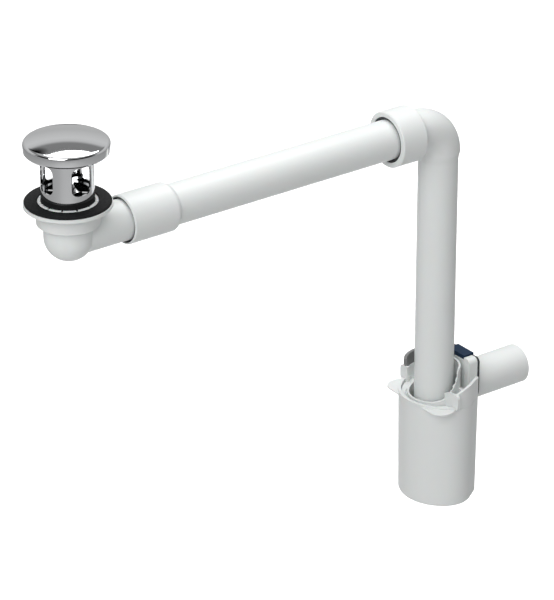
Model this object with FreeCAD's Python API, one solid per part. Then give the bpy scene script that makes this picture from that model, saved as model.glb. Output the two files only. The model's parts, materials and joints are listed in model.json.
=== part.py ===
import FreeCAD, Part
import os
from math import atan2, cos, hypot, pi, radians, sin, sqrt

os.makedirs("parts", exist_ok=True)

# A compact washbasin trap with its basin waste. Millimetres.
# The origin is the centre of the waste, in the plane where the gasket meets the basin.
# +Z is up and +X points along the horizontal pipes to the wall. Y = 0 is the middle plane.

# Pipes. Every run is the 32 mm waste size.
PIPE_R = 16.0
PIPE_WALL = 1.8
PIPE_GAP = 0.3        # a pipe in its socket
SEAL_GAP = 0.15       # a seal round the pipe that moves in it
EASE = 0.8            # small rounded edges of the mouldings
CUT = 1.0             # how far a cutter reaches past what it cuts

# Layout of the pipe axes
ARM_REACH = 348.6     # waste axis to dip tube axis
PIPE_DROP = 27.5      # flange top to the axis of the horizontal pipe
TRAP_DROP = 236.0     # that axis to the outlet axis

# Inlet elbow under the basin
GASKET_T = 2.0
GASKET_R = 32.5
FLANGE_R = 33.3
FLANGE_T = 3.3
COLLAR_T = 2.3        # raised collar between the gasket and the cage's seal
COLLAR_H = 2.0
COLLAR_NOTCHES = 12
COLLAR_NOTCH_W = 1.6
NECK_T = 3.7
NECK_H = 13.7
BODY_R = 18.9
SPIGOT_END = 77.0
SEAT_DEPTH = 8.0      # flange top down to the ledge that carries the cage seal
SPIDER_DROP = 1.0     # ledge down to the spider
SPIDER_DEPTH = 9.0
SPIDER_WEBS = 3
WEB_T = 2.4
HUB_R = 7.0

# Valve cage, its seal, screw, washer and nut
CAGE_R = 20.0
CAGE_WALL = 1.3
CAGE_FOOT = 6.0       # height of the cage's foot above the flange
CAGE_TOP = 41.0
CAGE_SEAL_WALL = 2.6
WINDOW_W = 16.6
WINDOW_LOW = 12.0
WINDOW_HIGH = 34.0
WINDOW_CORNER = 5.0
CAGE_LIP_H = 4.0
CAGE_LIP_T = 1.2
SCREW_R = 3.0
SCREW_HEAD_R = 5.2
SCREW_HEAD_H = 3.4
SCREW_SOCKET_R = 2.6
SCREW_SOCKET_DEPTH = 2.2
WASHER_T = 1.0
WASHER_R = 6.4
NUT_R = 5.0
NUT_H = 7.0
THREAD_GAP = 0.1
LOOSE_HOLE = 0.4      # screw in a plain hole
SCREW_TAIL = 3.0      # screw past the nut

# Valve cover
COVER_R = 32.4
COVER_RIM_H = 7.7
COVER_DOME_H = 4.6
COVER_WALL = 1.4
COVER_EDGE = 0.7
CARRIER_T = 2.6
CARRIER_WALL = 2.0
CARRIER_PLUG_H = 7.0
CARRIER_RIBS = 6
CARRIER_SLOT_W = 3.0

# Arm pipe with its moulded bell
BELL_MOUTH = 47.0
BELL_R = 19.2
BELL_END = 86.5
BELL_SHOULDER = 4.5
BELL_SEAL_R = 17.8
BELL_SEAL_DEPTH = 7.0
ARM_STOP_GAP = 0.4

# Upper elbow with its dip tube
SOCKET_BACK = 52.1    # dip tube axis back to the socket's mouth
SOCKET_R = 22.7
SOCKET_LENGTH = 24.5
SOCKET_SEAL_R = 18.5
SOCKET_SEAL_DEPTH = 8.0
SOCKET_FLOOR = 1.0    # wall between the arm pipe's end and the bend
BEND_R = 22.0
BEND_TUBE_R = 17.3
DIP_END_DROP = 69.5   # outlet axis down to the end of the dip tube

# Trap cup. Its plan is a shield about the dip tube axis: round in front, with
# straight sides that draw in to a flat rear face.
CUP_FRONT_X = 10.6    # centre of the wide front arc
CUP_SIDE_X = 3.6      # centres of the side arcs
CUP_SIDE_Y = 12.0
CUP_SIDE_R = 23.0
CUP_TAPER = 56.0      # degrees from +X that the straight sides face
CUP_REAR = 31.0
CUP_CORNER = 12.0     # rounded rear corners
CUP_DRAFT = 0.9
CUP_WALL = 2.2
CUP_DROP = 91.0       # outlet axis down to the cup's underside
CUP_FILLET = 3.0
JOINT_DROP = 2.0      # outlet axis down to where the cup's sides meet the head
JOINT_GAP = 0.15
CUP_FIT = 0.6         # head's skirt in the cup, all round

# The cup's lip in front, and its two finger lugs
LIP_UP = 0.7
LIP_H = 2.0
LIP_OUT = 0.6
LUG_UP = -0.6
LUG_T = 1.7
LUG_START = 15.0      # distance from the middle plane where a lug leaves the lip
LUG_FRONT = 24.2
LUG_OUT = 37.3        # its reach from the middle plane
LUG_CORNER = 11.0
LUG_BULGE = 0.6
LUG_EDGE = 0.7

# Trap head
DECK_UP = -1.75       # top of the deck round the sleeve
DECK_T = 2.6
FLOOR_UP = 0.7        # floor of the pockets behind the cheeks
SKIRT_H = 27.0        # joint down to the skirt's end
SKIRT_WALL = 2.6
SLEEVE_R = 21.6
SLEEVE_WALL = 1.7
SLEEVE_DROP = 36.0    # outlet axis down to the sleeve's end
RIM_GROOVE = 1.4      # groove in the deck round the sleeve
RIM_GROOVE_H = 1.2
RIM_FRONT = [         # the sleeve's rim from front to back: x and height
    (-14.0, 0.8),
    (-10.6, 1.4),
    (-6.0, 2.3),
]
RIM_BACK = [          # its steep part, which carries a row of notches
    (-3.0, 4.2),
    (1.0, 8.0),
    (5.0, 12.6),
    (8.5, 17.5),
    (10.3, 24.5),
]
NOTCH_PITCH = 5.4
NOTCH_R = 1.5
NOTCH_SKIN = 0.8      # sleeve wall left outside a notch
CHEEK_FRONT = -5.0
CHEEK_T = 2.6
CHEEK_OUT = 37.5
CHEEK_POST_IN = 28.5  # inner edge of the cheek beside the lever, which is open to the sleeve
CHEEK_IN_UP = 8.5     # a cheek's top at the sleeve, in its middle and at its end
CHEEK_MID_UP = 12.0
CHEEK_OUT_UP = 8.8
CHEEK_FOOT_UP = 2.4   # end of its rounded lower corner
CHEEK_CORNER = 3.4
SIDE_WALL = 2.2
SIDE_FRONT_UP = 10.6  # the side walls' top at the cheek, in the middle and at the back
SIDE_MID_UP = 16.2
SIDE_REAR_UP = 12.0
WEB_X = 11.0          # web across each pocket
WEB_UP = 7.0
BLOCK_FRONT = 22.6
BLOCK_HALF_W = 17.6
BLOCK_UP = 28.0
BLOCK_EDGE = 4.0
BLOCK_WALL = 2.0
CHAMBER_UP = 19.0     # roof of the waterway behind the sleeve
SOCKET_LAND = 5.0     # length of the outlet tube's seat
SEAT_GAP = 0.1        # a fixed piece in its seat

# Outlet tube with its seal
PLATE_SEAL_T = 2.0
PLATE_SEAL_OUT = 0.3
OUTLET_END = 88.0
TUBE_SEAT_CUT = 1.0   # the tube is this much smaller in radius in its seat
TUBE_SHOULDER = 1.0   # plate to where the tube has its full size

# Seals and the ring that holds the dip tube's seal
DIP_SEAL_H = 7.0
RETAINER_H = 5.0
RETAINER_LIP = 1.6
HEAD_SEAL_H = 4.0
HEAD_SEAL_T = 1.5
HEAD_SEAL_GAP = 0.5   # seal to the top of the cup's wall
HEAD_SEAL_UP = 3.0    # above the skirt's end

# Lock lever with its tab
LEVER_IN = 22.0
LEVER_OUT = 24.6
LEVER_LOW = 25.0
LEVER_UP = 29.6
LEVER_FROM = 12.0     # degrees from the wall side, about the tube
LEVER_TO = 143.0
APRON_LOW = 19.0      # the lever's deeper finger plate
APRON_FROM = 88.0
TIP_FROM = 124.0      # its lower corner slopes up from here to the lever's end
LEVER_ROOM = 0.4
LEVER_SWEEP = 8.0     # degrees of spare room past the lever's end
TAB_FRONT = 23.0
TAB_REAR = 33.0
TAB_HALF_W = 9.9
TAB_UP = 29.6
TAB_T = 3.4
TAB_GAP = 0.3         # tab in its channel
TAB_SEAT_TO = 60.0    # degrees, the end of the tab's seat on the lever, past its side
LOCK_TRAVEL = 2.0

# Levels worked out from the layout
BORE_R = PIPE_R - PIPE_WALL
COLLAR_R = CAGE_R + PIPE_GAP + COLLAR_T
NECK_R = CAGE_R + PIPE_GAP + NECK_T
SOCKET_MOUTH = ARM_REACH - SOCKET_BACK
SOCKET_END = SOCKET_MOUTH + SOCKET_LENGTH
SOCKET_STOP = SOCKET_END - SOCKET_FLOOR
TUBE_SEAT_R = PIPE_R - TUBE_SEAT_CUT
TUBE_SEAT_BORE = TUBE_SEAT_R - PIPE_WALL
SLEEVE_BORE = SLEEVE_R - SLEEVE_WALL
SLEEVE_UP = RIM_BACK[-1][1]
SKIRT_IN = CUP_WALL + CUP_FIT
SKIRT_LOW = -JOINT_DROP - SKIRT_H
Z_FLANGE = -GASKET_T
Z_SPIDER = Z_FLANGE - SEAT_DEPTH - SPIDER_DROP
Z_PIPE = Z_FLANGE - PIPE_DROP
Z_OUT = Z_PIPE - TRAP_DROP
V = FreeCAD.Vector
X_DIR = V(1, 0, 0)
Y_DIR = V(0, 1, 0)
Z_DIR = V(0, 0, 1)


def rod(r, low, high, x=0.0, y=0.0):
    """Upright cylinder between two heights."""
    return Part.makeCylinder(r, high - low, V(x, y, low), Z_DIR)


def tube(r_out, r_in, low, high):
    """Upright ring about the local origin."""
    return rod(r_out, low, high).cut(rod(r_in, low - 1, high + 1))


def pipe_rod(r, start, end, z=0.0):
    """Cylinder along X."""
    return Part.makeCylinder(r, end - start, V(start, 0, z), X_DIR)


def box(x0, x1, y0, y1, z0, z1):
    return Part.makeBox(x1 - x0, y1 - y0, z1 - z0, V(x0, y0, z0))


def spun(points, about_x=False, z=0.0):
    """Solid of revolution from (radius, height) corners, or (x, radius) about an X axis."""
    if about_x:
        corners = [V(a, 0, z + r) for a, r in points]
        base, axis = V(0, 0, z), X_DIR
    else:
        corners = [V(r, 0, h) for r, h in points]
        base, axis = V(0, 0, 0), Z_DIR
    face = Part.Face(Part.makePolygon(corners + corners[:1]))
    return face.revolve(base, axis, 360)


def joined(shapes):
    """One solid out of several that meet."""
    whole = shapes[0].multiFuse(shapes[1:])
    return whole.removeSplitter()


def outline(grow, z):
    """The cup's shield plan, grown outward, as a wire at one height."""
    side_r = CUP_SIDE_R + grow
    front_r = side_r + hypot(CUP_FRONT_X - CUP_SIDE_X, CUP_SIDE_Y)
    turn = atan2(CUP_SIDE_Y, CUP_SIDE_X - CUP_FRONT_X)
    taper = radians(CUP_TAPER)
    rear = CUP_REAR + grow
    corner_x = rear - CUP_CORNER
    reach = CUP_SIDE_X * cos(taper) + CUP_SIDE_Y * sin(taper) + side_r - CUP_CORNER
    corner_y = (reach - corner_x * cos(taper)) / sin(taper)

    def at(x, y, r, angle):
        return V(x + r * cos(angle), y + r * sin(angle), z)

    def arc(x, y, r, start, end):
        middle = (start + end) / 2
        return Part.Arc(at(x, y, r, start), at(x, y, r, middle), at(x, y, r, end)).toShape()

    def side(sign):
        """A straight side from its rear corner to its side arc."""
        corner = at(corner_x, sign * corner_y, CUP_CORNER, sign * taper)
        ahead = at(CUP_SIDE_X, sign * CUP_SIDE_Y, side_r, sign * taper)
        return [corner, ahead]

    left = side(1)
    right = side(-1)
    edges = [
        arc(corner_x, corner_y, CUP_CORNER, 0, taper),
        Part.LineSegment(left[0], left[1]).toShape(),
        arc(CUP_SIDE_X, CUP_SIDE_Y, side_r, taper, turn),
        arc(CUP_FRONT_X, 0, front_r, turn, 2 * pi - turn),
        arc(CUP_SIDE_X, -CUP_SIDE_Y, side_r, -turn, -taper),
        Part.LineSegment(right[1], right[0]).toShape(),
        arc(corner_x, -corner_y, CUP_CORNER, -taper, 0),
        Part.LineSegment(V(rear, -corner_y, z), V(rear, corner_y, z)).toShape(),
    ]
    return Part.Wire(edges)


def plan_slab(grow, low, high):
    """The cup's plan as a slab."""
    return Part.Face(outline(grow, low)).extrude(V(0, 0, high - low))


def vessel(grow, low, high, fillet):
    """The cup's form: slightly narrower at its rounded foot."""
    foot_high = low + fillet + CUT
    foot = plan_slab(grow - CUP_DRAFT, low, foot_high)
    bottom = [e for e in foot.Edges if e.BoundBox.ZMax < low + EASE]
    foot = foot.makeFillet(fillet, bottom)
    wires = [outline(grow - CUP_DRAFT, foot_high), outline(grow, high)]
    return foot.fuse(Part.makeLoft(wires, True, True))


def polygon_slab(points, low, high):
    """Flat shape with straight sides between two heights."""
    corners = [V(x, y, low) for x, y in points]
    face = Part.Face(Part.makePolygon(corners + corners[:1]))
    return face.extrude(V(0, 0, high - low))


def rounded_window(half_w, low, high, corner, depth):
    """Rounded rectangle cut through along X, both ways from the middle."""
    body = box(-depth, depth, -half_w, half_w, low, high)
    along = [e for e in body.Edges if abs(e.tangentAt(e.FirstParameter).x) > 0.99]
    return body.makeFillet(corner, along)


def sector(r_in, r_out, start, end, low, high):
    """Part of a ring between two angles."""
    def at(r, degrees):
        return V(r * cos(radians(degrees)), r * sin(radians(degrees)), low)
    middle = (start + end) / 2
    outer = Part.Arc(at(r_out, start), at(r_out, middle), at(r_out, end)).toShape()
    inner = Part.Arc(at(r_in, end), at(r_in, middle), at(r_in, start)).toShape()
    ends = [Part.LineSegment(at(r_out, end), at(r_in, end)).toShape(),
            Part.LineSegment(at(r_in, start), at(r_out, start)).toShape()]
    face = Part.Face(Part.Wire([outer, ends[0], inner, ends[1]]))
    return face.extrude(V(0, 0, high - low))


# Waste and inlet elbow

def inlet_elbow():
    """Flange, stepped neck, round bend and spigot, with a spider for the clamp nut."""
    neck_low = Z_FLANGE - FLANGE_T - NECK_H
    upright = spun([
        (0, Z_PIPE),
        (BODY_R, Z_PIPE),
        (BODY_R, neck_low - EASE),
        (BODY_R + 2 * EASE, neck_low),
        (NECK_R - EASE, neck_low),
        (NECK_R, neck_low + EASE),
        (NECK_R, Z_FLANGE - FLANGE_T),
        (FLANGE_R - EASE, Z_FLANGE - FLANGE_T),
        (FLANGE_R, Z_FLANGE - FLANGE_T + EASE),
        (FLANGE_R, Z_FLANGE),
        (COLLAR_R, Z_FLANGE),
        (COLLAR_R, Z_FLANGE + COLLAR_H - EASE),
        (COLLAR_R - EASE, Z_FLANGE + COLLAR_H),
        (0, Z_FLANGE + COLLAR_H),
    ])
    bend = Part.makeSphere(BODY_R, V(0, 0, Z_PIPE))
    spigot = pipe_rod(PIPE_R, 0, SPIGOT_END, Z_PIPE)
    chamfer = spun([
        (SPIGOT_END - EASE, PIPE_R),
        (SPIGOT_END + 1, PIPE_R),
        (SPIGOT_END + 1, PIPE_R - 2 * EASE),
    ], about_x=True, z=Z_PIPE)
    body = joined([upright, bend, spigot.cut(chamfer)])
    inner_r = BODY_R - PIPE_WALL
    ledge = Z_FLANGE - SEAT_DEPTH
    waterway = joined([
        rod(CAGE_R + PIPE_GAP, ledge, Z_FLANGE + COLLAR_H + 1),
        rod(inner_r, Z_PIPE, ledge),
        Part.makeSphere(inner_r, V(0, 0, Z_PIPE)),
        pipe_rod(BORE_R, 0, SPIGOT_END + 1, Z_PIPE),
    ])
    body = body.cut(waterway)
    spider_low = Z_SPIDER - SPIDER_DEPTH
    arms = [rod(HUB_R, spider_low, Z_SPIDER)]
    for i in range(SPIDER_WEBS):
        arm = box(0, inner_r + EASE, -WEB_T / 2, WEB_T / 2, spider_low, Z_SPIDER)
        arm.rotate(V(0, 0, 0), Z_DIR, (i + 0.5) * 360 / SPIDER_WEBS)
        arms.append(arm)
    body = joined([body] + arms)
    pocket = rod(NUT_R, Z_SPIDER - NUT_H, Z_SPIDER)
    body = body.cut(pocket)
    body = body.cut(rod(SCREW_R + LOOSE_HOLE, spider_low - CUT, Z_SPIDER))
    for i in range(COLLAR_NOTCHES):
        notch = box(CAGE_R, COLLAR_R + 1, -COLLAR_NOTCH_W / 2, COLLAR_NOTCH_W / 2,
                    Z_FLANGE + COLLAR_H / 2, Z_FLANGE + COLLAR_H + 1)
        notch.rotate(V(0, 0, 0), Z_DIR, (i + 0.5) * 360 / COLLAR_NOTCHES)
        body = body.cut(notch)
    return body


def basin_gasket():
    """Flat rubber ring on the flange, with an eased outer edge."""
    r_in = COLLAR_R + PIPE_GAP / 2
    return spun([
        (r_in, Z_FLANGE),
        (GASKET_R, Z_FLANGE),
        (GASKET_R, -EASE),
        (GASKET_R - EASE, 0),
        (r_in + EASE, 0),
        (r_in, -EASE / 2),
    ])


def cage_seal():
    """Rubber bush between the elbow's ledge and the foot of the cage."""
    return tube(CAGE_R, CAGE_R - CAGE_SEAL_WALL, Z_FLANGE - SEAT_DEPTH, Z_FLANGE + CAGE_FOOT)


def valve_cage():
    """Chromed tube with four rounded windows and a cross-shaped foot."""
    foot = Z_FLANGE + CAGE_FOOT
    top = Z_FLANGE + CAGE_TOP
    inner = CAGE_R - CAGE_WALL
    shell = tube(CAGE_R, inner, foot, top)
    depth = CAGE_R + 2
    for turn in (0, 90):
        window = rounded_window(WINDOW_W / 2, Z_FLANGE + WINDOW_LOW, Z_FLANGE + WINDOW_HIGH,
                                WINDOW_CORNER, depth)
        window.rotate(V(0, 0, 0), Z_DIR, turn)
        shell = shell.cut(window)
    lip = tube(inner + 0.5, inner - CAGE_LIP_T, top - CAGE_LIP_H, top)
    foot_ring = tube(inner + 0.5, CAGE_R - CAGE_SEAL_WALL, foot, foot + WEB_T)
    pieces = [shell, lip, foot_ring, rod(HUB_R, foot, foot + WEB_T)]
    for turn in (45, 135):
        bar = box(-inner, inner, -WEB_T / 2, WEB_T / 2, foot, foot + WEB_T)
        bar.rotate(V(0, 0, 0), Z_DIR, turn)
        pieces.append(bar)
    cage = joined(pieces)
    return cage.cut(rod(SCREW_R + LOOSE_HOLE, foot - 1, foot + WEB_T + 1))


def screw_washer():
    top_of_hub = Z_FLANGE + CAGE_FOOT + WEB_T
    return tube(WASHER_R, SCREW_R + LOOSE_HOLE, top_of_hub, top_of_hub + WASHER_T)


def clamp_screw():
    """Screw that pulls the cage and the elbow together through the basin."""
    under_head = Z_FLANGE + CAGE_FOOT + WEB_T + WASHER_T
    nut_low = Z_SPIDER - NUT_H
    head = rod(SCREW_HEAD_R, under_head, under_head + SCREW_HEAD_H)
    top_edge = [e for e in head.Edges if e.BoundBox.ZMin > under_head + SCREW_HEAD_H - 0.01]
    head = head.makeFillet(EASE, top_edge)
    shank = rod(SCREW_R, nut_low - SCREW_TAIL, under_head + 0.5)
    screw = joined([head, shank])
    corners = [(SCREW_SOCKET_R * cos(radians(60 * i)), SCREW_SOCKET_R * sin(radians(60 * i)))
               for i in range(6)]
    socket = polygon_slab(corners, under_head + SCREW_HEAD_H - SCREW_SOCKET_DEPTH,
                          under_head + SCREW_HEAD_H + 1)
    return screw.cut(socket)


def clamp_nut():
    """Threaded brass bush seated in the elbow's spider."""
    return tube(NUT_R - THREAD_GAP, SCREW_R + THREAD_GAP, Z_SPIDER - NUT_H, Z_SPIDER)


def valve_cover():
    """Shallow chromed mushroom with an upright rim."""
    low = Z_FLANGE + CAGE_TOP
    rim = low + COVER_RIM_H
    rise = COVER_DOME_H
    ball_r = (COVER_R ** 2 + rise ** 2) / (2 * rise)

    def cap(r, bottom, shoulder, height):
        """Upright disc with a spherical top."""
        ball_centre = shoulder + height - ball_r
        edge = ball_centre + sqrt(ball_r ** 2 - r ** 2)
        middle = ball_centre + sqrt(ball_r ** 2 - (r / 2) ** 2)
        apex = ball_centre + ball_r
        sides = Part.makePolygon([V(0, 0, apex), V(0, 0, bottom), V(r, 0, bottom), V(r, 0, edge)])
        dome = Part.Arc(V(r, 0, edge), V(r / 2, 0, middle), V(0, 0, apex)).toShape()
        return Part.Face(Part.Wire(sides.Edges + [dome])).revolve(V(0, 0, 0), Z_DIR, 360)

    outer = cap(COVER_R, low, rim, rise)
    round_edges = [e for e in outer.Edges
                   if e.BoundBox.XMax > COVER_R - 0.01 and e.BoundBox.ZMax - e.BoundBox.ZMin < 0.01]
    outer = outer.makeFillet(COVER_EDGE, round_edges)
    inner = cap(COVER_R - COVER_WALL, low - 1, rim, rise - COVER_WALL)
    return outer.cut(inner)


def cover_carrier():
    """Plastic plate inside the cover, with a slotted plug that drops into the cage."""
    low = Z_FLANGE + CAGE_TOP
    plug_r = CAGE_R - CAGE_WALL - CAGE_LIP_T - SEAL_GAP
    plate = rod(COVER_R - COVER_WALL - SEAT_GAP, low, low + CARRIER_T)
    plug = tube(plug_r, plug_r - CARRIER_WALL, low - CARRIER_PLUG_H, low + CARRIER_T)
    body = joined([plate, plug])
    body = body.cut(rod(plug_r - CARRIER_WALL, low - CARRIER_PLUG_H - 1, low))
    rib_top = low + COVER_RIM_H - 0.5
    ribs = []
    for i in range(CARRIER_RIBS):
        rib = box(4, plug_r, -0.8, 0.8, low + CARRIER_T - 0.5, rib_top)
        rib.rotate(V(0, 0, 0), Z_DIR, i * 360 / CARRIER_RIBS)
        ribs.append(rib)
    body = joined([body] + ribs)
    for i in range(4):
        slot = box(plug_r - CARRIER_WALL - 1, plug_r + 1, -CARRIER_SLOT_W / 2, CARRIER_SLOT_W / 2,
                   low - CARRIER_PLUG_H - 1, low - 1.5)
        slot.rotate(V(0, 0, 0), Z_DIR, 45 + 90 * i)
        body = body.cut(slot)
    return body


# Arm pipe and upper elbow

def arm_pipe():
    """Long pipe whose near end widens into a bell over the elbow's spigot."""
    seat_r = PIPE_R + PIPE_GAP
    end = SOCKET_STOP - ARM_STOP_GAP
    stop = SPIGOT_END + ARM_STOP_GAP
    corner = EASE
    body = spun([
        (BELL_MOUTH, BELL_SEAL_R),
        (BELL_MOUTH, BELL_R - corner),
        (BELL_MOUTH + corner, BELL_R),
        (BELL_END, BELL_R),
        (BELL_END + 0.35 * BELL_SHOULDER, BELL_R - 0.2 * (BELL_R - PIPE_R)),
        (BELL_END + 0.75 * BELL_SHOULDER, PIPE_R + 0.2 * (BELL_R - PIPE_R)),
        (BELL_END + BELL_SHOULDER, PIPE_R),
        (end - corner, PIPE_R),
        (end, PIPE_R - corner),
        (end, BORE_R),
        (stop + 2.0, BORE_R),
        (stop, seat_r),
        (BELL_MOUTH + BELL_SEAL_DEPTH, seat_r),
        (BELL_MOUTH + BELL_SEAL_DEPTH, BELL_SEAL_R),
    ], about_x=True, z=Z_PIPE)
    return body


def lip_seal(mouth, depth, r_out, z):
    """Rubber ring in a pipe's mouth, with a tapered lip towards the pipe."""
    r_in = PIPE_R + SEAL_GAP
    wall = r_out - r_in
    return spun([
        (mouth, r_out),
        (mouth, r_in + 0.35 * wall),
        (mouth + 0.2 * depth, r_in),
        (mouth + 0.5 * depth, r_in),
        (mouth + 0.6 * depth, r_in + 0.5 * wall),
        (mouth + depth, r_in + 0.5 * wall),
        (mouth + depth, r_out),
    ], about_x=True, z=z)


def bell_seal():
    return lip_seal(BELL_MOUTH + 0.5, BELL_SEAL_DEPTH - 0.5, BELL_SEAL_R - SEAT_GAP, Z_PIPE)


def socket_seal():
    return lip_seal(SOCKET_MOUTH + 0.6, SOCKET_SEAL_DEPTH - 0.8, SOCKET_SEAL_R - SEAL_GAP, Z_PIPE)


def riser_elbow():
    """Socket, tight bend and dip tube in one moulding."""
    seat_r = PIPE_R + PIPE_GAP
    bend_x = ARM_REACH - BEND_R
    socket = spun([
        (SOCKET_MOUTH, 0),
        (SOCKET_MOUTH, SOCKET_R - EASE),
        (SOCKET_MOUTH + EASE, SOCKET_R),
        (SOCKET_END - 2 * EASE, SOCKET_R),
        (SOCKET_END, SOCKET_R - 2 * EASE),
        (SOCKET_END, BEND_TUBE_R + EASE),
        (SOCKET_END + EASE, BEND_TUBE_R),
        (bend_x, BEND_TUBE_R),
        (bend_x, 0),
    ], about_x=True, z=Z_PIPE)
    dip_end = Z_OUT - DIP_END_DROP
    turn_centre = V(bend_x, 0, Z_PIPE - BEND_R)

    def quarter(r):
        """A quarter turn from the socket down into the dip tube."""
        circle = Part.makeCircle(r, V(bend_x, 0, Z_PIPE), X_DIR)
        return Part.Face(Part.Wire([circle])).revolve(turn_centre, Y_DIR, 90)

    taper = Part.makeCone(PIPE_R, BEND_TUBE_R, 6.0, V(ARM_REACH, 0, Z_PIPE - BEND_R - 6.0), Z_DIR)
    dip = rod(PIPE_R, dip_end, Z_PIPE - BEND_R - 6.0, x=ARM_REACH)
    body = joined([socket, quarter(BEND_TUBE_R), taper, dip])
    groove = SOCKET_MOUTH + SOCKET_SEAL_DEPTH
    hollow = joined([
        pipe_rod(SOCKET_SEAL_R, SOCKET_MOUTH - 1, groove, Z_PIPE),
        pipe_rod(seat_r, groove, SOCKET_STOP, Z_PIPE),
        pipe_rod(BORE_R, SOCKET_STOP, bend_x, Z_PIPE),
        quarter(BORE_R),
        rod(BORE_R, dip_end - 1, Z_PIPE - BEND_R, x=ARM_REACH),
    ])
    body = body.cut(hollow)
    end_edge = [e for e in body.Edges
                if e.BoundBox.ZMax < dip_end + 0.01 and e.BoundBox.XMax > ARM_REACH + PIPE_R - 0.1]
    return body.makeFillet(EASE, end_edge)


# Trap, in its own coordinates: origin on the dip tube axis at the outlet's height

def finger_lug(side):
    """Rounded ear at a front corner of the cup, level with the joint."""
    low = LUG_UP - LUG_T
    bevel = LUG_CORNER * (1 - sqrt(0.5))
    rear_x = CHEEK_FRONT - JOINT_GAP
    rear_y = CUP_SIDE_Y + CUP_SIDE_R

    def at(x, y):
        return V(x, side * y, low)

    start = at(2 * CUP_WALL - LUG_FRONT, LUG_START)
    leave = at(-LUG_FRONT, LUG_START)
    bend = at(-LUG_FRONT, LUG_OUT - LUG_CORNER)
    corner = at(-LUG_FRONT + bevel, LUG_OUT - bevel)
    crest = at(-LUG_FRONT + LUG_CORNER, LUG_OUT)
    middle = at((rear_x - LUG_FRONT + LUG_CORNER) / 2, (LUG_OUT + rear_y) / 2 + LUG_BULGE)
    back = at(rear_x, rear_y)
    inner = at(rear_x, CUP_SIDE_Y)
    edges = [
        Part.LineSegment(start, leave).toShape(),
        Part.LineSegment(leave, bend).toShape(),
        Part.Arc(bend, corner, crest).toShape(),
        Part.Arc(crest, middle, back).toShape(),
        Part.LineSegment(back, inner).toShape(),
        Part.LineSegment(inner, start).toShape(),
    ]
    lug = Part.Face(Part.Wire(edges)).extrude(V(0, 0, LUG_T))
    rims = [e for e in lug.Edges if e.BoundBox.ZMax - e.BoundBox.ZMin < EASE]
    outer = [e for e in rims
             if e.Curve.TypeId == "Part::GeomCircle" or abs(e.CenterOfMass.x + LUG_FRONT) < EASE / 10]
    return lug.makeFillet(LUG_EDGE, outer)


def trap_cup():
    """Removable cup with a lip in front and two finger lugs."""
    wide = 2 * CUP_REAR
    front = box(-wide, CHEEK_FRONT - JOINT_GAP, -wide, wide, -CUP_DROP, wide)
    lip = plan_slab(LIP_OUT, LIP_UP - LIP_H, LIP_UP).common(front)
    neck = plan_slab(0, -JOINT_DROP, LIP_UP).common(front)
    pieces = [vessel(0, -CUP_DROP, -JOINT_DROP, CUP_FILLET), lip, neck, finger_lug(1), finger_lug(-1)]
    body = joined(pieces)
    body = body.cut(vessel(-CUP_WALL, -CUP_DROP + CUP_WALL, LIP_UP + CUT, CUP_FILLET - CUP_WALL))
    half = BLOCK_HALF_W + PLATE_SEAL_OUT + CUP_FIT
    return body.cut(block_form(0, 2 * CUP_REAR, half, BLOCK_UP, BLOCK_EDGE))


def block_form(start, end, half_w, up, edge):
    """Form along X that is half round below the outlet axis and upright above it."""
    form = box(start, end, -half_w, half_w, 0, up)
    shoulders = [e for e in form.Edges
                 if abs(e.tangentAt(e.FirstParameter).x) > 0.9 and e.BoundBox.ZMin > up - EASE]
    form = form.makeFillet(edge, shoulders)
    return joined([form, pipe_rod(half_w, start, end)])


def seal_band(outer, depth, slack):
    """Band round the skirt, for the head seal and its groove."""
    low = SKIRT_LOW + HEAD_SEAL_UP - slack
    high = low + HEAD_SEAL_H + 2 * slack
    band = plan_slab(outer, low, high)
    return band.cut(plan_slab(outer - depth, low - CUT, high + CUT))


def above(points, start, end):
    """What lies above an arc through three points of the side view, to cut a curved top."""
    (x0, h0), (x1, h1), (x2, h2) = points
    top = BLOCK_UP + CUT
    edges = [
        Part.Arc(V(x0, start, h0), V(x1, start, h1), V(x2, start, h2)).toShape(),
        Part.LineSegment(V(x2, start, h2), V(x2, start, top)).toShape(),
        Part.LineSegment(V(x2, start, top), V(x0, start, top)).toShape(),
        Part.LineSegment(V(x0, start, top), V(x0, start, h0)).toShape(),
    ]
    return Part.Face(Part.Wire(edges)).extrude(V(0, end - start, 0))


def side_walls():
    """The walls that carry the cup's sides up round the sleeve, with a web in each pocket."""
    low = JOINT_GAP - JOINT_DROP
    wide = 2 * CUP_REAR
    start = CHEEK_FRONT + CHEEK_T / 2
    walls = plan_slab(0, low, BLOCK_UP).cut(plan_slab(-SIDE_WALL, FLOOR_UP, BLOCK_UP + CUT))
    walls = walls.common(box(start, wide, -wide, wide, low, BLOCK_UP))
    well = plan_slab(-SKIRT_IN - EASE, DECK_UP, FLOOR_UP + CUT)
    walls = walls.cut(well.common(box(start, WEB_X, -wide, wide, DECK_UP, FLOOR_UP + CUT)))
    middle = (start + CUP_REAR) / 2
    top = [(start, SIDE_FRONT_UP), (middle, SIDE_MID_UP), (CUP_REAR, SIDE_REAR_UP)]
    web = box(WEB_X, WEB_X + SIDE_WALL, -wide, wide, FLOOR_UP - EASE, WEB_UP)
    web = web.common(plan_slab(0, FLOOR_UP - EASE, WEB_UP))
    return joined([walls.cut(above(top, -wide, wide)), web])


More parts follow.
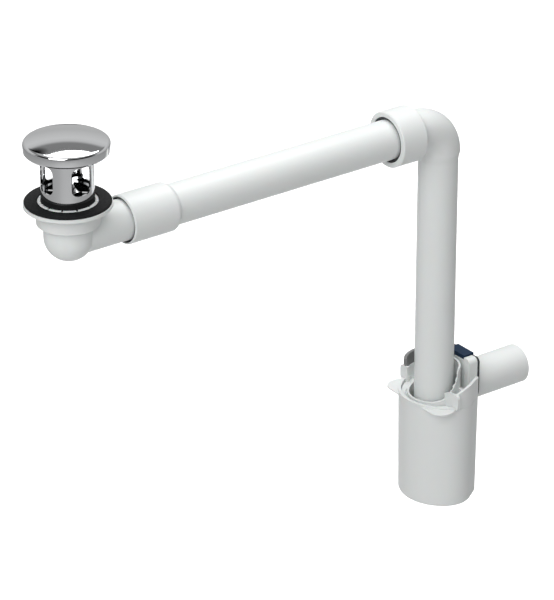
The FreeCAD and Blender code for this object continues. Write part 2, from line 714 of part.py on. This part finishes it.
def cheek(side, inner, inner_up):
    """Cross wall in front, from near the sleeve to beyond the side wall, with rounded corners."""
    low = JOINT_GAP - JOINT_DROP
    foot_in = CHEEK_OUT - CHEEK_CORNER
    bevel = CHEEK_CORNER * (1 - sqrt(0.5))

    def at(y, height):
        return V(CHEEK_FRONT, side * y, height)

    start = at(inner, low)
    foot = at(foot_in, low)
    foot_mid = at(CHEEK_OUT - bevel, low + (CHEEK_FOOT_UP - low) * (1 - sqrt(0.5)))
    end_low = at(CHEEK_OUT, CHEEK_FOOT_UP)
    end_high = at(CHEEK_OUT, CHEEK_OUT_UP)
    crest_mid = at(CHEEK_OUT - bevel, (CHEEK_OUT_UP + CHEEK_MID_UP) / 2 + bevel / 2)
    crest = at(foot_in, CHEEK_MID_UP)
    top = at(inner, inner_up)
    edges = [
        Part.LineSegment(start, foot).toShape(),
        Part.Arc(foot, foot_mid, end_low).toShape(),
        Part.LineSegment(end_low, end_high).toShape(),
        Part.Arc(end_high, crest_mid, crest).toShape(),
        Part.LineSegment(top, start).toShape(),
    ]
    if inner_up < CHEEK_MID_UP:
        dip = at((inner + foot_in) / 2, CHEEK_MID_UP - (CHEEK_MID_UP - inner_up) / 3)
        edges.insert(4, Part.Arc(crest, dip, top).toShape())
    else:
        edges.insert(4, Part.LineSegment(crest, top).toShape())
    return Part.Face(Part.Wire(edges)).extrude(V(CHEEK_T, 0, 0))


def rim_cutter():
    """What is cut off above the sleeve's sloping rim, with its row of notches."""
    far = SLEEVE_R + CUT
    top = 2 * BLOCK_UP
    profile = [(-far, RIM_FRONT[0][1])] + RIM_FRONT + RIM_BACK
    profile = profile + [(far, SLEEVE_UP), (far, top), (-far, top)]
    corners = [V(x, -far, h) for x, h in profile]
    cutter = Part.Face(Part.makePolygon(corners + corners[:1])).extrude(V(0, 2 * far, 0))
    inside = rod(SLEEVE_R - NOTCH_SKIN, 0, top)
    passed = 0.0
    following = NOTCH_PITCH / 2
    for (x0, h0), (x1, h1) in zip(RIM_BACK, RIM_BACK[1:]):
        run = hypot(x1 - x0, h1 - h0)
        while following < passed + run:
            share = (following - passed) / run
            at = V(x0 + share * (x1 - x0), -far, h0 + share * (h1 - h0))
            notch = Part.makeCylinder(NOTCH_R, 2 * far, at, Y_DIR)
            cutter = cutter.fuse(notch.common(inside))
            following = following + NOTCH_PITCH
        passed = passed + run
    return cutter


def tab_channel():
    """Room for the tab in the top of the block and of its sealing plate."""
    half = TAB_HALF_W + TAB_GAP
    floor = TAB_UP - TAB_T - TAB_GAP
    return box(BLOCK_FRONT - CUT, TAB_REAR + LOCK_TRAVEL + CUT, -half, half, floor, TAB_UP + CUT)


def lever_room():
    """Room for the lever, and for its travel, in the block."""
    reach = LEVER_OUT + LOCK_TRAVEL + LEVER_ROOM
    low = LEVER_LOW - LEVER_ROOM
    return sector(SLEEVE_R - CUT, reach, LEVER_FROM - LEVER_SWEEP, 90, low, BLOCK_UP + CUT)


def waterway():
    """The way from the cup, round the sleeve and through the block to the outlet tube."""
    half = BLOCK_HALF_W - BLOCK_WALL
    seat = CUP_REAR - SOCKET_LAND
    below = box(0, seat, -half, half, -SLEEVE_DROP, DECK_UP - DECK_T)
    inside = block_form(BLOCK_FRONT + BLOCK_WALL, seat, half, CHAMBER_UP, BLOCK_EDGE - BLOCK_WALL)
    sleeve = rod(SLEEVE_R, -2 * SLEEVE_DROP, 2 * SLEEVE_DROP)
    return [below.cut(sleeve), inside, pipe_rod(TUBE_SEAT_R + SEAT_GAP, seat, CUP_REAR + CUT)]


def trap_head():
    """Head of the trap: deck, skirt, tube sleeve, cheeks, side walls and the outlet block."""
    deck_low = DECK_UP - DECK_T
    deck = plan_slab(-SKIRT_IN, deck_low, DECK_UP)
    deck = deck.cut(tube(SLEEVE_R + RIM_GROOVE, 0, DECK_UP - RIM_GROOVE_H, DECK_UP + CUT))
    skirt = plan_slab(-SKIRT_IN, SKIRT_LOW, deck_low)
    skirt = skirt.cut(plan_slab(-SKIRT_IN - SKIRT_WALL, SKIRT_LOW - CUT, deck_low))
    block = block_form(BLOCK_FRONT, CUP_REAR, BLOCK_HALF_W, BLOCK_UP, BLOCK_EDGE)
    block = block.cut(tab_channel())
    block = block.cut(lever_room())
    near = cheek(-1, SLEEVE_BORE, CHEEK_IN_UP)
    beside_lever = cheek(1, CHEEK_POST_IN, CHEEK_MID_UP)
    walls = joined([side_walls(), near, beside_lever])
    walls = walls.cut(rod(SLEEVE_R - EASE, -SLEEVE_DROP, 2 * BLOCK_UP))
    sleeve = rod(SLEEVE_R, -SLEEVE_DROP, SLEEVE_UP).cut(rim_cutter())
    body = joined([deck, skirt, walls, block, sleeve])
    groove = CUP_WALL + HEAD_SEAL_GAP + HEAD_SEAL_T + SEAT_GAP
    body = body.cut(seal_band(0, groove, SEAT_GAP))
    for hollow in waterway():
        body = body.cut(hollow)
    return body.cut(rod(SLEEVE_BORE, -2 * SLEEVE_DROP, 2 * SLEEVE_DROP))


def dip_seal():
    """Lip seal round the dip tube at the foot of the sleeve."""
    r_out = SLEEVE_BORE - SEAL_GAP
    r_in = PIPE_R + SEAL_GAP
    low = -SLEEVE_DROP + RETAINER_H
    wall = r_out - r_in
    return spun([
        (r_out, low),
        (r_out, low + DIP_SEAL_H),
        (r_in + 0.35 * wall, low + DIP_SEAL_H),
        (r_in, low + 0.8 * DIP_SEAL_H),
        (r_in, low + 0.5 * DIP_SEAL_H),
        (r_in + 0.5 * wall, low + 0.4 * DIP_SEAL_H),
        (r_in + 0.5 * wall, low),
    ])


def seal_retainer():
    """Clip ring that closes the foot of the sleeve under the seal."""
    r_out = SLEEVE_BORE - SEAT_GAP
    low = -SLEEVE_DROP
    return spun([
        (PIPE_R + PIPE_GAP, low - RETAINER_LIP),
        (SLEEVE_R, low - RETAINER_LIP),
        (SLEEVE_R, low),
        (r_out, low),
        (r_out, low + RETAINER_H - SEAT_GAP),
        (r_out - 1.4, low + RETAINER_H - SEAT_GAP),
        (r_out - 1.4, low),
        (PIPE_R + PIPE_GAP, low),
    ])


def head_seal():
    """Rubber ring round the head's skirt, where the cup closes on it."""
    return seal_band(-CUP_WALL - HEAD_SEAL_GAP, HEAD_SEAL_T, 0)


def outlet_seal():
    """Dark sealing plate between the block and the outlet tube."""
    half = BLOCK_HALF_W + PLATE_SEAL_OUT
    rear = CUP_REAR + PLATE_SEAL_T
    plate = block_form(CUP_REAR, rear, half, BLOCK_UP - PLATE_SEAL_OUT, BLOCK_EDGE)
    plate = plate.cut(tab_channel())
    return plate.cut(pipe_rod(TUBE_SEAT_R + SEAT_GAP, CUP_REAR - CUT, rear + CUT))


def outlet_tube():
    """Straight tube to the wall, plugged into the block through its seal."""
    start = CUP_REAR - SOCKET_LAND
    shoulder = CUP_REAR + PLATE_SEAL_T + TUBE_SHOULDER
    return spun([
        (start, TUBE_SEAT_BORE),
        (start, TUBE_SEAT_R),
        (shoulder, TUBE_SEAT_R),
        (shoulder, PIPE_R),
        (OUTLET_END - EASE, PIPE_R),
        (OUTLET_END, PIPE_R - EASE),
        (OUTLET_END, BORE_R),
        (shoulder + PIPE_WALL, BORE_R),
        (shoulder, TUBE_SEAT_BORE),
    ], about_x=True)


def lock_lever():
    """Dark lever curving round the tube from the tab, with a finger plate at its end."""
    band = sector(LEVER_IN, LEVER_OUT, LEVER_FROM, LEVER_TO, LEVER_LOW, LEVER_UP)
    apron = sector(LEVER_IN, LEVER_OUT, APRON_FROM, LEVER_TO, APRON_LOW, LEVER_UP)
    tilt = (TIP_FROM + LEVER_TO) / 2
    half = LEVER_OUT * radians(LEVER_TO - TIP_FROM) / 2
    slope = (LEVER_LOW - APRON_LOW) / (2 * half)
    reach = half + CUT
    corners = [
        V(LEVER_IN - CUT, -half, APRON_LOW),
        V(LEVER_IN - CUT, reach, APRON_LOW + slope * (half + reach)),
        V(LEVER_IN - CUT, reach, APRON_LOW - CUT),
        V(LEVER_IN - CUT, -half, APRON_LOW - CUT),
    ]
    wedge = Part.Face(Part.makePolygon(corners + corners[:1]))
    wedge = wedge.extrude(V(LEVER_OUT - LEVER_IN + 2 * CUT, 0, 0))
    wedge.rotate(V(0, 0, 0), Z_DIR, tilt)
    return joined([band, apron]).cut(wedge)


def lock_tab():
    """Blue tab on the block's top, seated on the end of the lever. Its face is bare."""
    tab = box(TAB_FRONT, TAB_REAR, -TAB_HALF_W, TAB_HALF_W, TAB_UP - TAB_T, TAB_UP)
    seat = sector(LEVER_IN - CUT, LEVER_OUT + SEAT_GAP, LEVER_FROM - SEAT_GAP, TAB_SEAT_TO, LEVER_LOW, TAB_UP + CUT)
    return tab.cut(seat)


WASTE = {
    "inlet_elbow": inlet_elbow,
    "basin_gasket": basin_gasket,
    "cage_seal": cage_seal,
    "valve_cage": valve_cage,
    "screw_washer": screw_washer,
    "clamp_screw": clamp_screw,
    "clamp_nut": clamp_nut,
    "valve_cover": valve_cover,
    "cover_carrier": cover_carrier,
    "arm_pipe": arm_pipe,
    "bell_seal": bell_seal,
    "socket_seal": socket_seal,
    "riser_elbow": riser_elbow,
}
TRAP = {
    "trap_cup": trap_cup,
    "trap_head": trap_head,
    "dip_seal": dip_seal,
    "seal_retainer": seal_retainer,
    "head_seal": head_seal,
    "outlet_seal": outlet_seal,
    "outlet_tube": outlet_tube,
    "lock_lever": lock_lever,
    "lock_tab": lock_tab,
}

for name, make in WASTE.items():
    make().exportStep("parts/" + name + ".step")
for name, make in TRAP.items():
    shape = make()
    shape.translate(V(ARM_REACH, 0, Z_OUT))
    shape.exportStep("parts/" + name + ".step")
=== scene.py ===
import json
from math import atan2, cos, degrees, pi, radians, sin

import bmesh
import bpy
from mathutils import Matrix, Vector


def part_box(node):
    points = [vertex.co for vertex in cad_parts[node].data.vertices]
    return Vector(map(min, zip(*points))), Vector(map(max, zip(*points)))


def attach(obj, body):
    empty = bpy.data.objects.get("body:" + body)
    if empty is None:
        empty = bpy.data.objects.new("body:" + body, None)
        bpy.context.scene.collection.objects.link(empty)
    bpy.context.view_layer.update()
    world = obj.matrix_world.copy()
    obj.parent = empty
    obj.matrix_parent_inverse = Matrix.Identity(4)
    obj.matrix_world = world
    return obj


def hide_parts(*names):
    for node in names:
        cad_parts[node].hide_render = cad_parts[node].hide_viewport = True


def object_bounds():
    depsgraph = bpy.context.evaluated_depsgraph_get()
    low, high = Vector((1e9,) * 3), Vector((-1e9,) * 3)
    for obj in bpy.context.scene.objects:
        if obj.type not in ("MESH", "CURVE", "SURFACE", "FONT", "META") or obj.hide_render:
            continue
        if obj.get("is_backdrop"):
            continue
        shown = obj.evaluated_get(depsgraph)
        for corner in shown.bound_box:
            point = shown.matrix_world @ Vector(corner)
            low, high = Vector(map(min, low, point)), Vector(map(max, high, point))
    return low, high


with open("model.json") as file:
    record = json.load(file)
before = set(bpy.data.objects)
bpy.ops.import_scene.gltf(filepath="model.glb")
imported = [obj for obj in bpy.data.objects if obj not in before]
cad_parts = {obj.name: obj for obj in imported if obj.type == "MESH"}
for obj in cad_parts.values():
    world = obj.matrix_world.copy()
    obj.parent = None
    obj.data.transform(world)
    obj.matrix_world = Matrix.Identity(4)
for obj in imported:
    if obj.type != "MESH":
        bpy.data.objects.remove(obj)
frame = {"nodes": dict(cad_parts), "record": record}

low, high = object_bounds()

# A washbasin trap in white moulded plastic with a chromed waste, in metres.
# The origin is the centre of the waste, and +X runs along the pipes to the wall.
# Azimuths and elevations are in degrees. Azimuth 0 is on the -Y side, and 90 on the +X side.

# Camera, set so that the pipes fall where the photograph has them
FOCAL_PX = 3884.7
FRAME_LONG_PX = 600.0
SENSOR_MM = 36.0
CAMERA_AZIMUTH = -36.46
CAMERA_ELEVATION = 25.95
CAMERA_DISTANCE = 3.0112
CAMERA_REACH = 200.0     # sees the floor as far as this
TARGET = Vector((0.19071, 0.0, -0.1373))

# Floor
FLOOR_DROP = 1.2         # the floor lies this far below the cup
FLOOR_HALF = 30.0
FLOOR_GREY = (0.73, 0.73, 0.73)
FLOOR_LIGHT_UP = 0.6     # height of the floor's own lights above it

# Studio walls and ceiling: sine of the elevation and brightness there
ROOM = [
    (0.00, 0.50),
    (0.20, 0.50),
    (0.47, 0.64),
    (0.54, 0.58),
    (0.59, 0.24),
    (0.73, 0.22),
    (0.77, 0.50),
    (1.00, 0.50),
]

# The room is dim behind the camera. How much of the dimming applies, along the
# cosine of the angle to that side and along the sine of the elevation.
DIM_SIDE = [(-0.10, 0.0), (0.25, 1.0)]
DIM_RISE = [(0.10, 0.0), (0.17, 1.0), (0.60, 1.0), (0.75, 0.0)]
DIM_LEFT = 0.04          # share of the brightness left there

# A dark gap between wall and ceiling, behind the object on the left
GAP_AZIMUTH = 168.0
GAP_ELEVATION = 41.5
GAP_DARK = 4.0           # degrees from its middle: dark as far as this,
GAP_LIT = 8.5            # and as light as the room from here on

# Polished cover
DOME_RISE = 0.0046
DOME_STEPS = 48
TURN_STEPS = 192         # round the axis
BROW_R = 0.0030          # rounding between dome and rim
BROW_STEPS = 10
BROW_FOOT = 2.0          # degrees above level where that rounding ends
CHAMFER_IN = 0.0008      # chamfer under the rim
CHAMFER_UP = 0.0011
RIM_DROP = 0.0008        # the rim hangs this far below the solid's
RIM_DRAFT = 0.0003       # the rim draws in by this much towards its foot
COVER_WALL = 0.0012
SAME_POINT = 1e-7        # corners this near to each other become one
SHARP_ANGLE = 30.0       # an edge that bends more than this stays sharp

# Colours, linear
WHITE = (0.775, 0.797, 0.79)
BLACK_RUBBER = (0.006, 0.0065, 0.007)
GREY_RUBBER = (0.055, 0.056, 0.06)
DARK_PLASTIC = (0.20, 0.20, 0.20)
BLUE = (0.003, 0.022, 0.058)
CHROME = (0.80, 0.81, 0.82)
STEEL = (0.55, 0.55, 0.56)
BRASS = (0.70, 0.52, 0.25)

# Noise stays mostly between these two values, so colour and gloss run between them
NOISE_LOW = 0.3
NOISE_HIGH = 0.7


# Node trees

class Nodes:
    """A short hand for building a node tree."""

    def __init__(self, tree):
        self.tree = tree

    def link(self, source, target):
        self.tree.links.new(source, target)

    def add(self, kind, *sources, **inputs):
        """A node whose first sockets are linked and whose others are set by name."""
        node = self.tree.nodes.new(kind)
        for source, target in zip(sources, node.inputs):
            self.link(source, target)
        self.fill(node, **inputs)
        return node

    def fill(self, node, **inputs):
        for key, value in inputs.items():
            node.inputs[key.replace("_", " ")].default_value = value

    def ramp(self, source, stops):
        """Colours along a value between 0 and 1."""
        node = self.add("ShaderNodeValToRGB", source)
        elements = node.color_ramp.elements
        while len(elements) < len(stops):
            elements.new(0.5)
        for element, (position, colour) in zip(elements, stops):
            element.position = position
            element.color = (*colour, 1.0)
        return node.outputs["Color"]

    def greys(self, source, stops):
        """Greys along a value between 0 and 1."""
        return self.ramp(source, [(position, (grey,) * 3) for position, grey in stops])

    def times(self, first, second):
        """The product of two values."""
        node = self.add("ShaderNodeMath", first, second)
        node.operation = "MULTIPLY"
        return node.outputs["Value"]

    def scaled(self, source, factor, offset):
        """A value times the factor, plus the offset."""
        node = self.add("ShaderNodeMath", source)
        node.operation = "MULTIPLY_ADD"
        node.inputs[1].default_value = factor
        node.inputs[2].default_value = offset
        return node.outputs["Value"]

    def dot(self, source, direction):
        """The cosine of the angle between a direction and a fixed one."""
        node = self.add("ShaderNodeVectorMath", source)
        node.operation = "DOT_PRODUCT"
        node.inputs[1].default_value = direction
        return node.outputs["Value"]


class Finish(Nodes):
    """A material, with noises over the piece for its colour, gloss and relief."""

    def __init__(self, name):
        self.material = bpy.data.materials.new(name)
        self.material.use_nodes = True
        super().__init__(self.material.node_tree)
        self.shader = self.tree.nodes["Principled BSDF"]
        self.point = self.add("ShaderNodeTexCoord").outputs["Object"]

    def noise(self, scale, detail=2.0, stretch=None):
        """Noise with so many features to the metre."""
        point = self.point
        if stretch:
            point = self.add("ShaderNodeMapping", point, Scale=stretch).outputs["Vector"]
        return self.add("ShaderNodeTexNoise", point, Scale=scale, Detail=detail).outputs["Fac"]

    def colour(self, noise, base, dark, light=1.0):
        """Let the base colour wander between two shades of one colour."""
        stops = [(NOISE_LOW, shade(base, dark)), (NOISE_HIGH, shade(base, light))]
        self.link(self.ramp(noise, stops), self.shader.inputs["Base Color"])

    def roughness(self, noise, smooth, rough):
        """Let the roughness wander between two values."""
        node = self.add("ShaderNodeMapRange", noise, From_Min=NOISE_LOW, From_Max=NOISE_HIGH,
                        To_Min=smooth, To_Max=rough)
        self.link(node.outputs["Result"], self.shader.inputs["Roughness"])

    def bump(self, noise, depth, strength):
        """Fine relief, its depth in metres."""
        node = self.add("ShaderNodeBump", Distance=depth, Strength=strength)
        self.link(noise, node.inputs["Height"])
        self.link(node.outputs["Normal"], self.shader.inputs["Normal"])

    def done(self, **inputs):
        """Set what is the same all over the surface, and give the material."""
        self.fill(self.shader, **inputs)
        return self.material


def shade(colour, factor):
    """A colour made darker or lighter, no lighter than white."""
    return tuple(min(1.0, c * factor) for c in colour)


# Finishes

def white_plastic():
    """Moulded polypropylene: satin, a little translucent, with faint flow marks."""
    f = Finish("white_polypropylene")
    f.colour(f.noise(9.0, detail=3.0), WHITE, dark=0.985, light=1.01)
    f.roughness(f.noise(60.0, detail=4.0), smooth=0.36, rough=0.44)
    f.bump(f.noise(700.0), depth=0.00002, strength=0.35)
    return f.done(IOR=1.49, Subsurface_Weight=0.06, Subsurface_Scale=0.004)


def chrome():
    """Bright plating with the faintest haze."""
    f = Finish("chrome_plate")
    f.colour(f.noise(30.0), CHROME, dark=0.985)
    f.roughness(f.noise(220.0, detail=3.0), smooth=0.03, rough=0.06)
    return f.done(Metallic=1.0)


def rubber(name, colour, grain):
    """Matt moulded rubber with fine grain."""
    f = Finish(name)
    f.colour(f.noise(80.0, detail=3.0), colour, dark=0.85, light=1.2)
    f.roughness(f.noise(500.0, detail=3.0), smooth=0.62, rough=0.78)
    f.bump(f.noise(grain, detail=3.0), depth=0.00006, strength=0.6)
    return f.done(Specular_IOR_Level=0.25)


def plastic(name, colour, smooth, rough, shine):
    """Moulded coloured plastic."""
    f = Finish(name)
    f.colour(f.noise(60.0, detail=3.0), colour, dark=0.94, light=1.06)
    f.roughness(f.noise(300.0, detail=3.0), smooth, rough)
    f.bump(f.noise(1500.0), depth=0.00002, strength=0.4)
    return f.done(Specular_IOR_Level=shine)


def metal(name, colour, smooth, rough):
    """Turned metal with fine rings."""
    f = Finish(name)
    f.colour(f.noise(120.0, detail=3.0), colour, dark=0.93, light=1.03)
    f.roughness(f.noise(900.0, stretch=(1.0, 1.0, 6.0)), smooth, rough)
    return f.done(Metallic=1.0)


def floor_paint():
    """Plain matt paint."""
    f = Finish("floor_paint")
    f.colour(f.noise(1.5), FLOOR_GREY, dark=0.995)
    return f.done(Roughness=0.9, Specular_IOR_Level=0.1)


FINISHES = {
    "white_plastic": white_plastic(),
    "black_rubber": rubber("black_rubber_finish", BLACK_RUBBER, grain=2200.0),
    "grey_rubber": rubber("grey_rubber_finish", GREY_RUBBER, grain=2600.0),
    "chrome": chrome(),
    "brass": metal("turned_brass", BRASS, smooth=0.24, rough=0.34),
    "steel": metal("turned_steel", STEEL, smooth=0.26, rough=0.36),
    "blue_plastic": plastic("blue_moulding", BLUE, smooth=0.42, rough=0.50, shine=0.2),
    "dark_plastic": plastic("dark_moulding", DARK_PLASTIC, smooth=0.45, rough=0.56, shine=0.5),
}

# each solid takes the finish of its slot in the record
for part in frame["record"]["subparts"]:
    materials = frame["nodes"][part["node"]].data.materials
    materials.clear()
    materials.append(FINISHES[part["material_slot"]])


def add_object(name, data):
    """Put a mesh, light or camera into the scene."""
    obj = bpy.data.objects.new(name, data)
    bpy.context.scene.collection.objects.link(obj)
    return obj


# The cover again, with the soft edges of a polished pressing

def turned(name, profile):
    """A piece turned about the waste's axis from its (radius, height) corners."""
    bm = bmesh.new()
    verts = [bm.verts.new((r, 0, z)) for r, z in profile]
    edges = [bm.edges.new(pair) for pair in zip(verts, verts[1:] + verts[:1])]
    bmesh.ops.spin(bm, geom=verts + edges, cent=(0, 0, 0), axis=(0, 0, 1), angle=2 * pi,
                   steps=TURN_STEPS, use_merge=True)
    bmesh.ops.remove_doubles(bm, verts=bm.verts, dist=SAME_POINT)
    bmesh.ops.recalc_face_normals(bm, faces=bm.faces)
    mesh = bpy.data.meshes.new(name)
    bm.to_mesh(mesh)
    bm.free()
    mesh.polygons.foreach_set("use_smooth", [True] * len(mesh.polygons))
    mesh.set_sharp_from_angle(angle=radians(SHARP_ANGLE))
    return add_object(name, mesh)


def cover_profile(foot_z, top_z, rim_r):
    """(radius, height) from the rim's foot over brow and dome, and back along the inside."""
    foot_r = rim_r - RIM_DRAFT
    chamfer = [(foot_r - CHAMFER_IN, foot_z), (foot_r, foot_z + CHAMFER_UP)]

    # the dome is part of a ball, and the brow rolls inside that ball and the rim
    ball_r = (rim_r ** 2 + DOME_RISE ** 2) / (2 * DOME_RISE)
    ball_z = top_z - ball_r
    brow_r = rim_r - BROW_R
    brow_z = ball_z + ((ball_r - BROW_R) ** 2 - brow_r ** 2) ** 0.5
    meeting = atan2(brow_z - ball_z, brow_r)
    brow = []
    for i in range(BROW_STEPS + 1):
        a = radians(BROW_FOOT + (degrees(meeting) - BROW_FOOT) * i / BROW_STEPS)
        brow.append((brow_r + BROW_R * cos(a), brow_z + BROW_R * sin(a)))
    dome = []
    for i in range(1, DOME_STEPS):
        r = ball_r * cos(meeting) * (1 - i / DOME_STEPS)
        dome.append((r, ball_z + (ball_r ** 2 - r ** 2) ** 0.5))

    under = top_z - DOME_RISE - COVER_WALL
    inside = [(0.0, top_z), (0.0, top_z - COVER_WALL),
              (rim_r - 2 * COVER_WALL, under),
              (foot_r - COVER_WALL, under - COVER_WALL),
              (foot_r - COVER_WALL, foot_z)]
    return chamfer + brow + dome + inside


cover_low, cover_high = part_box("valve_cover")
cover = turned("polished_cover",
               cover_profile(cover_low.z - RIM_DROP, cover_high.z, cover_high.x))
cover.data.materials.append(FINISHES["chrome"])
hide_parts("valve_cover")
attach(cover, "cover")


# Floor

floor_z = low.z - FLOOR_DROP
floor_mesh = bpy.data.meshes.new("floor")
floor_mesh.from_pydata([(x * FLOOR_HALF, y * FLOOR_HALF, floor_z)
                        for x, y in ((-1, -1), (1, -1), (1, 1), (-1, 1))], [], [(0, 1, 2, 3)])
floor_mesh.materials.append(floor_paint())
add_object("floor", floor_mesh)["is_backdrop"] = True


# Light

def toward(azimuth, elevation):
    """The direction from the object to something at these angles."""
    a = radians(azimuth)
    e = radians(elevation)
    return Vector((sin(a) * cos(e), -cos(a) * cos(e), sin(e)))


def place(obj, azimuth, elevation, distance):
    """Put a light or camera round the object and turn it to the object."""
    obj.location = TARGET + distance * toward(azimuth, elevation)
    obj.rotation_euler = (TARGET - obj.location).to_track_quat("-Z", "Y").to_euler()


def area_light(name, azimuth, elevation, distance, width, height, power,
               shape="RECTANGLE", in_chrome=True):
    """A soft box. With in_chrome False it lights the object, but no gloss shows it."""
    data = bpy.data.lights.new(name, "AREA")
    data.shape = shape
    data.size = width
    data.size_y = height
    data.energy = power
    light = add_object(name, data)
    light.visible_glossy = in_chrome
    place(light, azimuth, elevation, distance)
    return light


def floor_light(name, azimuth, distance, width, height, power):
    """A light below the object that faces down and whitens a patch of the floor."""
    light = area_light(name, azimuth, 0, distance, width, height, power, in_chrome=False)
    light.location.z = floor_z + FLOOR_LIGHT_UP
    light.rotation_euler = (0, 0, radians(azimuth))


area_light("key_soft_box", azimuth=-62, elevation=36, distance=3.0,
           width=2.0, height=2.0, power=46.0)
area_light("overhead_soft_box", azimuth=137, elevation=73, distance=1.6,
           width=1.5, height=1.15, power=17.0, shape="ELLIPSE")
area_light("fill_soft_box", azimuth=-34, elevation=20, distance=4.0,
           width=4.0, height=3.0, power=32.0, in_chrome=False)
floor_light("far_floor_light", azimuth=143.5, distance=3.15, width=1.9, height=3.4, power=42.0)
floor_light("near_floor_light", azimuth=-36.5, distance=3.4, width=3.0, height=2.4, power=1.5)


def light_room():
    """The studio's walls and ceiling, which light the object from all round."""
    world = bpy.data.worlds.new("studio")
    bpy.context.scene.world = world
    world.use_nodes = True
    room = Nodes(world.node_tree)
    direction = room.add("ShaderNodeTexCoord").outputs["Generated"]
    rise = room.add("ShaderNodeSeparateXYZ", direction).outputs["Z"]

    # a ramp reads values from 0 to 1, so a cosine goes into it halved and lifted
    side = room.scaled(room.dot(direction, toward(CAMERA_AZIMUTH, 0)), 0.5, 0.5)
    dim_side = room.greys(side, [(0.5 + 0.5 * cosine, share) for cosine, share in DIM_SIDE])
    dim = room.times(dim_side, room.greys(rise, DIM_RISE))
    level = room.scaled(dim, DIM_LEFT - 1.0, 1.0)

    gap = room.add("ShaderNodeMapRange",
                   room.dot(direction, toward(GAP_AZIMUTH, GAP_ELEVATION)),
                   From_Min=cos(radians(GAP_DARK)), From_Max=cos(radians(GAP_LIT)))
    level = room.times(level, gap.outputs["Result"])

    # the ramp's white is the brightest place, and the strength brings it to its brightness
    brightest = max(brightness for _, brightness in ROOM)
    walls = room.greys(rise, [(sine, brightness / brightest) for sine, brightness in ROOM])
    background = world.node_tree.nodes["Background"]
    room.link(room.times(walls, level), background.inputs["Color"])
    background.inputs["Strength"].default_value = brightest


light_room()


# Camera

camera_data = bpy.data.cameras.new("camera")
camera_data.sensor_width = SENSOR_MM
camera_data.lens = FOCAL_PX / FRAME_LONG_PX * SENSOR_MM
camera_data.clip_end = CAMERA_REACH
camera = add_object("camera", camera_data)
place(camera, CAMERA_AZIMUTH, CAMERA_ELEVATION, CAMERA_DISTANCE)
bpy.context.scene.camera = camera
bpy.context.scene.view_settings.view_transform = "Standard"

low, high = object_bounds()
